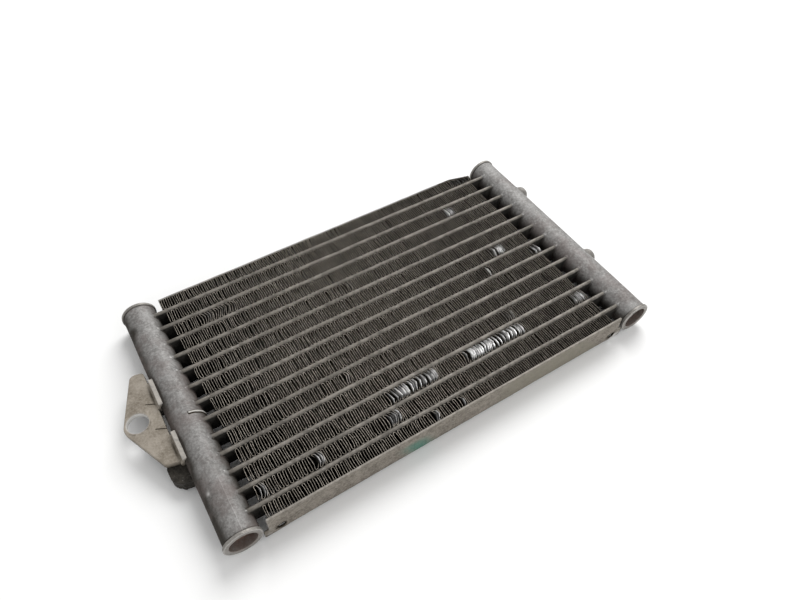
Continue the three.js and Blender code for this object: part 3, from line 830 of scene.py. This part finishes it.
def fin_row(node, material, start, end, seed, squeeze=None):
    """One row of folded foil with uneven folds, leaning tops and crushed stretches."""
    rng = np.random.default_rng(seed)
    low, high = cad(node)
    height, half = high[1] - low[1], (high[2] - low[2]) / 2
    path, reach, pitch = foil_path(start, end, height)
    crushed = [c for c in CRUSHED if c[0] == node]
    levels = np.array(FINE_LEVELS if crushed else COARSE_LEVELS) * half
    along = np.gradient(path[:, :2], axis=0)
    along /= np.linalg.norm(along, axis=1)[:, None]
    across = np.stack([-along[:, 1], along[:, 0]], -1) * FOIL / 2

    sides = []
    for way in (1, -1):
        flat = path[:, :2] + way * across
        grid = np.broadcast_arrays(flat[:, :1], flat[:, 1:], levels[::way])
        sides.append(np.stack(grid, -1))
    points, faces = loft(np.concatenate(sides, 1))
    x, y, z = points.T
    per_ring = 2 * len(levels)
    x0 = np.repeat(path[:, 0], per_ring)
    y0 = np.repeat(path[:, 1], per_ring)
    leg = np.repeat(path[:, 2], per_ring)
    z0 = z.copy()
    middle = 1 - unit(abs(y0) / (reach + pitch / 2)) ** 4

    legs = int(leg.max()) + 2
    own = rng.normal(0, 0.07, legs)
    lean = rng.normal(0, 0.08, legs)
    whole = np.floor(leg).astype(int)
    part = leg - whole

    def per_leg(values):
        """One value for each leg, blended round the folds."""
        return values[whole] * (1 - part) + values[np.minimum(whole + 1, legs - 1)] * part

    x += per_leg(own) + wander(x0, 18, seed + 1, 0.22)
    top = unit((z0 + half) / (2 * half)) ** 3
    bottom = unit((half - z0) / (2 * half)) ** 3
    sway = per_leg(lean) * 2 + wander(x0, 9, seed + 2, 0.45) + wander(x0, 2.6, seed + 3, 0.12)
    x += top * middle * sway
    x += bottom * middle * wander(x0, 10, seed + 4, 0.4)
    x += (top + 0.3) * wander(x0, 5, seed + 5, 0.2) * y0 / reach
    for _ in range(rng.integers(3, 6)):
        spot = rng.uniform(start + 8, end - 8)
        width = rng.uniform(2.2, 5)
        push = rng.uniform(-0.5, 0.5)
        near = bump(abs(x0 - spot), width)
        x += top * near * push * bump(abs(y0 - rng.uniform(-3, 3)), 5)
        z -= abs(push) * 0.5 * near * middle * ramp(z0, half - 2.5, half)

    crush_and_glint = np.zeros(len(points))
    for _, begin, stop, tilt, shine in crushed:
        reach_in = min(4.0, (stop - begin) / 3)
        leading = np.arange(legs) % 2
        uneven = 1 + 0.2 * wander(x0, 5, seed + 6) + per_leg(rng.normal(0, 0.12, legs) - 0.1 * leading)
        stroke = per_leg(np.where(leading, rng.uniform(0.6, 2.0, legs), rng.uniform(-0.3, 1.0, legs)).clip(0))
        amount = ramp(x0, begin - 1, begin + reach_in) * ramp(-x0, -stop - 1, -stop + reach_in)
        amount *= uneven
        shift = wander(x0, 7, seed + 8, 1.6)
        dished = (1 - unit(abs(y0 - shift) / (reach + 1.6)) ** 2.6) * middle
        bend = radians(tilt) * np.clip(amount * dished, 0, 1.15)
        above = np.clip(z0 - CRUSH_FLOOR, 0, None)
        t = above / (half - CRUSH_FLOOR)
        curl = np.maximum(bend * t, 1e-6)
        x += np.where(bend > 1e-5, above * (1 - np.cos(curl)) / curl, 0)
        z -= np.where(bend > 1e-5, above * (1 - np.sin(curl) / curl), 0)
        x += t * unit(amount * dished) * y0 * (0.1 + 0.45 * wander(x0, 8, seed + 9))
        # Painted highlight and shade: each crushed leg is bright near its tip and dark lower down.
        glint = ramp(t, 0.66, 0.9) * unit(amount) ** 2 * ramp(dished, 0.1, 0.6)
        crush_and_glint = np.maximum(crush_and_glint, shine * stroke * glint * (1 + 0.5 * wander(y0 + 2 * leg, 4, seed + 10)))
    if squeeze:
        y[:] = squeeze(x, y, height)
    y += (low[1] + high[1]) / 2
    np.clip(z, -half, half, out=z)
    make_piece(node, material, points, faces, {"crush_and_glint": unit(crush_and_glint)}, 50)


def add_fins():
    material = fin_material()
    low, high = cad("fin_02")
    rear_low = cad("fin_01")[0]
    plate_right = cad("rear_side_plate")[1][0]

    def under_bent_plate(x, y, height):
        """The rear row gets lower where its side plate is bent inwards."""
        share = 1 - REAR_BEND_DROP / height * unit((x - REAR_BEND_X) / (plate_right - REAR_BEND_X))
        return (y + height / 2) * share - height / 2

    fin_row("fin_01", material, rear_low[0], plate_right - 2, 301, under_bent_plate)
    for index, node in enumerate(FINS[1:]):
        fin_row(node, material, low[0], high[0], 302 + 17 * index)


# ---- side plates ----


def front_plate(material):
    """The front side plate: a tall sheet with low tabs to the headers and a hole near each end."""
    low, high = cad("front_side_plate")
    thickness = high[1] - low[1]
    bottom, top = low[2], high[2]
    tab = high[0]
    outline = rounded([
        (-tab, bottom + 0.2, 0.8), (tab, bottom, 1.6), (tab, -3.4, 1.2), (130.4, -2.6, 1.0),
        (129.4, top, 0.8), (-130.9, top, 0.8), (-131.1, -3.2, 1.0), (-tab, -3.6, 0.8),
    ], 4)
    holes = [arc(place, PLATE_HOLE_RADIUS, 360, 0, 28)[:-1] for place in PLATE_HOLES]
    cuts = [((x, 0, 0), (1, 0, 0)) for x in np.arange(-132, 133, 3.0)]
    cuts += [((0, z, 0), (0, 1, 0)) for z in (-9.4, -7.4, -4.8, -2, 1, 4, 6.8, 8.2, 8.7, 9.2, 9.8)]
    mesh = sheet(outline, holes, thickness, 0.28, cuts)
    flat = coordinates(mesh)
    x, z, depth = flat[:, 0], flat[:, 1], flat[:, 2]
    outer = depth > 0
    away = wander(x, 60, 401, 0.12) + wander(x, 17, 402, 0.05) + 0.04 * ripple(flat, 12, 403)
    # The face lies a little behind the lip along its upper edge.
    step = 0.28 * ramp(-z, -9.0, -8.5) * ramp(x, -126, -118) * ramp(-x, -124, -119) * outer
    points = np.stack([x, -depth + away * 0.5 + step, z], -1)
    points[:, 1] += (low[1] + high[1]) / 2
    crumple = bump(np.hypot((x - 128.5) / 1.7, z + 8.8), 4.4)
    points[:, 1] += crumple * outer * (0.25 * ripple(flat, 2.6, 404) + 0.25)
    points[:, 2] -= crumple * (1.1 + 0.6 * ripple(flat, 3.1, 405)) * (z < -8)
    points[:, 2] += wander(x, 22, 406, 0.12) * (z < -8) + wander(x, 14, 407, 0.1) * (z > 8)
    points[:, 1] = np.clip(points[:, 1], low[1], None)
    points[:, 2] = np.clip(points[:, 2], -FLANGE_RADIUS, FLANGE_RADIUS)
    pale = ramp(x, 20, 40) * ramp(-(x + 0.9 * z), -106, -104.5) * ramp(-z, -8.4, -7.9) * outer
    paint = bump(abs(x + 0.5 * z + 36), 14) * ramp(-z, -3.5, 1) * outer
    tabs = ramp(abs(x), 128, 131.5)
    # Painted shadow: a dark line under the lip along the upper edge.
    grime_and_shade = 0.35 * ramp(-z, 7.5, 10) + 0.5 * bump(abs(z - 8.6), 0.45) * (step > 0.05) + 0.3 * tabs
    # Painted shade: darker round each hole.
    hole_shade = np.zeros(len(x))
    for hole_x, hole_z in PLATE_HOLES:
        hole_shade += bump(abs(np.hypot(x - hole_x, z - hole_z) - PLATE_HOLE_RADIUS), 1.3)
    grime_and_shade += 1.3 * hole_shade
    # Painted highlight: a thin bright line along the top edge. The crumple and some of the tabs are bright
    # worn metal.
    bare_and_highlight = 0.12 * ramp(z, top - 0.7, top - 0.1) + 0.85 * crumple + 0.2 * tabs * (ripple(flat, 3, 408) > 0.3)
    bare_and_highlight *= 1 - unit(1.5 * hole_shade)
    mesh.vertices.foreach_set("co", ((points + CORE) * MM).ravel())
    mesh.update()
    data = {"pale": unit(pale), "paint": unit(paint), "grime_and_shade": unit(grime_and_shade), "bare_and_highlight": unit(bare_and_highlight)}
    finish_piece("front_side_plate", material, mesh, data, 40)


def rear_plate(material):
    """The rear side plate: a strip as deep as the fins, bent inwards at its right end."""
    low, high = cad("rear_side_plate")
    edge = 0.3
    t, h = REAR_THICKNESS / 2, (high[2] - low[2]) / 2
    section = arc((t - edge, h - edge), edge, 0, 90, 3) + arc((edge - t, h - edge), edge, 90, 180, 3)
    section += [(-t, 3), (-t, -3)]
    section += arc((edge - t, edge - h), edge, 180, 270, 3) + arc((t - edge, edge - h), edge, 270, 360, 3)
    section += [(t, -3), (t, 3)]
    xs = np.linspace(low[0], high[0], 150)
    lean = unit((xs - REAR_BEND_X) / (high[0] - REAR_BEND_X))
    points, faces = along_x(section, xs, high[1] - t - (REAR_BEND_DROP * lean)[:, None])
    x, _, z = points.T.copy()
    points[:, 1] -= abs(wander(x, 34, 421, 0.2)) + abs(wander(x, 8, 422, 0.08))
    narrowing = 1.1 * ramp(x, REAR_BEND_X, high[0]) * (z > 0)
    points[:, 2] -= np.sign(z) * (abs(wander(x, 12, 423, 0.2)) + narrowing)
    grime_and_shade = 0.55 + 0.45 * ramp(x, 80, 110) + 0.2 * wander(x, 15, 424)
    data = {"grime_and_shade": unit(grime_and_shade), "bare_and_highlight": 0.25 * ramp(abs(z), h - 0.4, h) * (x < 100)}
    make_piece("rear_side_plate", material, points, faces, data, 40)


# ---- mounting ear ----


def bracket_lip(start, end, seed):
    """One lip that cradles the header's upper flank, in section a block with a fillet at its foot."""
    top = cad("mounting_bracket")[1][2]
    left = -11.3
    seat = HEADER_RADIUS + 0.03
    from_angle = 180 - degrees(asin((top - 0.15) / seat))
    section = arc((left + 0.45, top - 0.45), 0.45, 90, 180, 4)
    section += arc((BRACKET_EDGE - 0.4, BRACKET_TOP + 1.4), 1.4, 0, -90, 5)
    section += [(BRACKET_EDGE - 0.8, BRACKET_TOP - 1), (BRACKET_EDGE - 0.4, BRACKET_BOTTOM + 0.3)]
    section += [(BRACKET_EDGE, BRACKET_BOTTOM)]
    section += arc((0, 0), seat, 180 + 5.2, from_angle, 8)
    section = np.array(section)
    middle = section.mean(0)
    inward = middle - section
    inward /= np.linalg.norm(inward, axis=1)[:, None]
    rings = []
    # Each ring is (place along y, inset), so that both ends are rounded.
    ends = ((0, 0.4), (0.12, 0.15), (0.45, 0))
    places = [(start + way_in, inset) for way_in, inset in ends]
    places += [(y, 0) for y in np.linspace(start + 1.5, end - 1.5, 12)]
    places += [(end - way_in, inset) for way_in, inset in ends[::-1]]
    for y, inset in places:
        flat = section + inward * inset
        rings.append(np.stack([flat[:, 0], np.full(len(flat), y), flat[:, 1]], -1))
    points, faces = loft(rings)
    x, _, z = points.T
    wobble = ramp(z, 2, 6)
    x += wobble * ripple(points, 9, seed, 0.05)
    z -= wobble * abs(ripple(points, 7, seed + 1, 0.05))
    return points, faces


def bracket_ear():
    """The flat ear with its bolt hole and two saw kerfs, about the left header's axis."""
    thickness = BRACKET_TOP - BRACKET_BOTTOM
    outline = rounded([
        (BRACKET_EDGE, -29.5, 1), (BRACKET_EDGE, 40.6, 2.5), (-20.3, 42.3, 4), (-35.4, 5.8, 8),
        (-21.2, -27.2, 3.5),
    ], 12)
    hole = arc((BOLT_HOLE_X, BOLT_HOLE_Y), BOLT_RADIUS, 360, 0, 72)[:-1]
    cuts = [((x, 0, 0), (1, 0, 0)) for x in np.arange(-34, -12.5, 1.6)]
    cuts += [((0, y, 0), (0, 1, 0)) for y in np.arange(-28, 42, 1.6)]
    mesh = sheet(outline, [hole], thickness, 0.45, cuts)
    kerf_size = (7.0, 0.7, 2.8)
    carrier = add_object("ear", mesh)
    cutters = []
    for y in KERF_YS:
        bm = bmesh.new()
        turn = Matrix.Translation((KERF_X, y, thickness / 2)) @ Matrix.Rotation(-pi / 7, 4, "Z")
        bmesh.ops.create_cube(bm, size=1, matrix=turn @ Matrix.Diagonal((*kerf_size, 1)))
        cutter_mesh = bpy.data.meshes.new("kerf")
        bm.to_mesh(cutter_mesh)
        bm.free()
        cutters.append(add_object("kerf", cutter_mesh))
        cut = carrier.modifiers.new("kerf", "BOOLEAN")
        cut.operation, cut.solver, cut.object = "DIFFERENCE", "EXACT", cutters[-1]
    bpy.context.view_layer.update()
    made = bpy.data.meshes.new_from_object(carrier.evaluated_get(bpy.context.evaluated_depsgraph_get()))
    for item in (carrier, *cutters):
        bpy.data.objects.remove(item)
    points = coordinates(made)
    points[:, 2] += (BRACKET_TOP + BRACKET_BOTTOM) / 2
    return points, [list(p.vertices) for p in made.polygons]


def add_bracket():
    lips = [bracket_lip(-LIP_STOP, -LIP_START, 501), bracket_lip(LIP_START, LIP_STOP, 511)]
    points, faces = join_bodies(bracket_ear(), *lips)
    x, y, z = points.T.copy()
    ear = ramp(-x, 12.2, 12.8) * ramp(-z, -3.3, -2.8)
    points[:, 2] += ear * (ripple(points, 22, 521, 0.05) + ripple(points, 6, 522, 0.015))
    rim = ramp(-z, -2.9, -1.2)
    hole = np.hypot(x - BOLT_HOLE_X, y - BOLT_HOLE_Y)
    beside = bump(abs(abs(y) - LIP_MIDDLE), 12) * bump(abs(x + 13.0), 1.7) * (z < 4.5)
    grime_and_shade = 0.75 * beside + 0.25 * rim
    grime_and_shade += 0.55 * bump(abs(hole - BOLT_RADIUS - 1), 1.2) * (z > 2) * ramp(-y, -9, -3)
    for kerf_y in KERF_YS:
        from_kerf = x - KERF_X
        grime_and_shade += 0.5 * bump(np.hypot(from_kerf / 3.4, (y - kerf_y) / 1.2 + from_kerf * 0.4), 1.0)
    grime_and_shade += 0.35 * ramp(-z, -1.5, 0.5)
    grime_and_shade += ramp(z, 3.6, 4.4) * (0.25 + 0.35 * ripple(points, 3.5, 523))
    # Painted light: the bolt hole's wall is lighter and clean of dirt.
    bore = bump(abs(hole - BOLT_RADIUS), 0.5) * (z < 2.7) * (z > -0.7)
    grime_and_shade *= 1 - 0.9 * bore
    lip = ramp(z, 4.8, 6.0)
    bare_and_highlight = 0.3 * lip + 0.5 * bump(np.hypot(x + 20.5, (y + 26.5)) / 7, 1) * ramp(z, 2.3, 2.8) * rim
    # Painted light on the bolt hole's wall and upper rim.
    bare_and_highlight += 0.35 * bump(abs(hole - BOLT_RADIUS - 0.1), 0.5) * ramp(z, 0.5, 2.9) + 0.8 * bore
    points = points + np.array([LEFT_X, 0, 0])
    data = {"grime_and_shade": unit(grime_and_shade), "bare_and_highlight": unit(bare_and_highlight)}
    make_piece("mounting_bracket", bracket_material(), points, faces, data, 35)


# ---- ports and mount bosses ----


# A port boss's outline about its bore, as in the CAD source: (x, y, corner radius).
PORT_REAR_Y = 9.5
PORT_OUTLINE = [
    (6.5, -7.4, 1.5), (6.5, PORT_REAR_Y, 1), (-7.4, PORT_REAR_Y, 2.5), (-7, -1.6, 3.5), (-2, -6.6, 3.5),
]
PORT_FROM_AXIS = 14.5


def port_boss(node, material, seed):
    """A block under dirt, with rounded corners, a bore that opens downwards and a blind end."""
    low, high = cad(node)
    bottom, top = low[2], high[2]
    bore = np.array([LEFT_X - PORT_FROM_AXIS, high[1] - PORT_REAR_Y, 0])
    segments = 120
    around = turn_angles(segments) - pi
    outline = np.array(rounded(PORT_OUTLINE, 10))
    onward = np.roll(outline, -1, 0) - outline
    outline = np.concatenate([outline + onward * t for t in np.linspace(0, 1, 12, endpoint=False)])
    bearing = np.arctan2(outline[:, 1], outline[:, 0])
    reach = np.interp(around, bearing, np.hypot(*outline.T), period=2 * pi)

    def ring(radius, height):
        radius = np.broadcast_to(radius, segments)
        return np.stack([radius * np.cos(around), radius * np.sin(around), np.full(segments, height)], -1)

    rings = [ring(0.5, -3.6), ring(PORT_BORE - 0.4, -3.6), ring(PORT_BORE, -4.0), ring(PORT_BORE, bottom + 3)]
    rings += [ring(PORT_BORE, bottom + 0.5), ring(PORT_BORE + 0.5, bottom)]
    rings += [ring(PORT_BORE + 0.5 + (reach - PORT_BORE - 1.0) * t, bottom) for t in (0.35, 0.7, 1)]
    rings += [ring(reach, h) for h in np.linspace(bottom + 0.5, top - 0.6, 14)]
    rings += [ring(reach - 0.2, top - 0.15), ring(reach - 0.6, top)]
    rings += [ring((reach - 0.6) * t, top) for t in (0.92, 0.84, 0.72, 0.6, 0.45, 0.3, 0.12)]
    points, faces = loft(rings)
    r = np.hypot(points[:, 0], points[:, 1])
    outside = ramp(r, PORT_BORE + 0.7, PORT_BORE + 1.6)
    rough = abs(shake(points, (7, seed, 0.3), (2.8, seed + 1, 0.22), (1.3, seed + 2, 0.08))).sum(-1)
    points[:, :2] *= (1 - rough * outside / np.maximum(r, 1))[:, None]
    points[:, 2] -= 0.8 * rough * ramp(points[:, 2], top - 0.7, top)
    x, y, z = points.T
    facet = bump(np.hypot((x + 1.6) / 1.5, (y + 3.4) / 2.4), 1.0) * ramp(z, top - 1.6, top - 0.4)
    facet += 0.45 * ramp(x, 1.0, 3.0) * ramp(-y, 2.0, 5.0)
    points += bore
    make_piece(node, material, points, faces, {"bare_and_highlight": unit(facet)}, 45)


def mount_boss(node, material, seed):
    """A round-ended boss on the right header's outer side, with a braze fillet at its foot."""
    low, high = cad(node)
    y0 = (low[1] + high[1]) / 2
    radius = (high[1] - low[1]) / 2
    reach = high[0] - RIGHT_X
    rounding = min(4.6, reach - HEADER_RADIUS - 0.7)
    wall_end = reach - rounding
    segments = 72
    angles = turn_angles(segments)
    foot = 2.6

    def ring(r, x_of):
        ys, zs = r * np.cos(angles), r * np.sin(angles)
        return np.stack([x_of(np.sqrt(np.maximum(HEADER_RADIUS**2 - zs**2, 0))), ys, zs], -1)

    rings = []
    for t in np.linspace(0, 90, 7):
        a = radians(t)
        r = radius + foot * (1 - sin(a))
        rings.append(ring(r, lambda seat, a=a: seat - 0.05 + (wall_end - 0.3 - seat) * (1 - cos(a))))
    for t in np.linspace(0, 90, 8):
        a = radians(t)
        r = radius - rounding * (1 - cos(a))
        rings.append(ring(r, lambda seat, a=a: np.full(segments, wall_end + rounding * sin(a))))
    rings += [ring((radius - rounding) * t, lambda seat: np.full(segments, reach)) for t in (0.7, 0.3)]
    points, faces = loft(rings)
    x = points[:, 0].copy()
    rough = abs(ripple(points, 6, seed, 0.05) + ripple(points, 2.4, seed + 1, 0.025))
    points[:, 0] = np.minimum(x - rough, reach)
    points[:, 1:] *= 1 - rough[:, None] / radius
    grime_and_shade = 0.55 * ramp(-points[:, 2], -1, 5) + 0.35 * bump(x - HEADER_RADIUS, 2.0) + 0.2 * ramp(x, 13, 16)
    points += np.array([RIGHT_X, y0, 0])
    make_piece(node, material, points, faces, {"grime_and_shade": unit(grime_and_shade)}, 50)


# ---- assembly ----


def build():
    add_headers()
    plates = plate_material()
    baffle_rim(plates)
    caps = cap_material()
    for seed, (x, side) in zip((81, 83), ((LEFT_X, "left"), (RIGHT_X, "right"))):
        end_cap(f"{side}_rear_end_cap", caps, x, 1, seed)
        end_cap(f"{side}_front_end_cap", caps, x, -1, seed + 1)
    tubes = tube_material()
    for index, node in enumerate(TUBES):
        flat_tube(node, tubes, 200 + 9 * index)
    add_fins()
    front_plate(plates)
    rear_plate(plates)
    add_bracket()
    ports = port_material()
    port_boss("inlet_port_boss", ports, 601)
    port_boss("outlet_port_boss", ports, 611)
    bosses = boss_material()
    mount_boss("right_mount_boss_rear", bosses, 621)
    mount_boss("right_mount_boss_front", bosses, 631)


# ---- camera, light and floor ----

# The camera's place is about the middle of the core.
CAMERA_PLACE = Vector((-0.13675, -0.22436, 0.34764))
CAMERA_AHEAD = Vector((0.34008, 0.52254, -0.78186))
CAMERA_RIGHT = Vector((0.84846, -0.52904, 0.01548))
CAMERA_LENS = 28.4
WORLD_LIGHT = 0.64
FLOOR_REACH = 4.0
FLOOR_GAP = 0.0002


def add_camera():
    camera = add_object("camera", bpy.data.cameras.new("camera"))
    camera.data.lens = CAMERA_LENS
    camera.data.sensor_width = 36
    camera.data.clip_start = 0.01
    up = CAMERA_RIGHT.cross(CAMERA_AHEAD).normalized()
    right = CAMERA_AHEAD.cross(up).normalized()
    turn = Matrix((right, up, -CAMERA_AHEAD.normalized())).transposed().to_4x4()
    camera.matrix_world = Matrix.Translation(CAMERA_PLACE + Vector(CORE * MM)) @ turn
    scene.camera = camera


def add_lamp(name, place, width, power):
    """A round soft lamp that points at the object."""
    lamp = add_object(name, bpy.data.lights.new(name, "AREA"))
    lamp.data.shape = "DISK"
    lamp.data.size = width
    lamp.data.energy = power
    lamp.location = place
    lamp.rotation_euler = (-Vector(place)).to_track_quat("-Z", "Y").to_euler()


def add_studio():
    world = bpy.data.worlds.new("studio")
    world.use_nodes = True
    background = world.node_tree.nodes["Background"]
    background.inputs["Color"].default_value = (1, 1, 1, 1)
    background.inputs["Strength"].default_value = WORLD_LIGHT
    scene.world = world
    scene.view_settings.view_transform = "Standard"
    scene.view_settings.look = "None"
    add_lamp("key", (1.1, 1.0, 1.5), 1.5, 38)
    add_lamp("front", (0.5, -1.4, 0.7), 0.9, 6.5)

    m = Material("floor")
    tone = m.mix(m.noise(60, 3, 0.5), (0.86, 0.86, 0.855, 1), (0.9, 0.9, 0.895, 1))
    m.done(tone, 0.6, 0.0, m.bump(m.noise(2, 3, 0.5), 0.01))
    mesh = bpy.data.meshes.new("floor")
    corners = [(x * FLOOR_REACH, y * FLOOR_REACH, 0) for x, y in ((-1, -1), (1, -1), (1, 1), (-1, 1))]
    mesh.from_pydata(corners, [], [(0, 1, 2, 3)])
    mesh.materials.append(m.material)
    floor = add_object("floor", mesh)
    floor.location.z = cad_box[0].z - FLOOR_GAP


add_camera()
build()
add_studio()
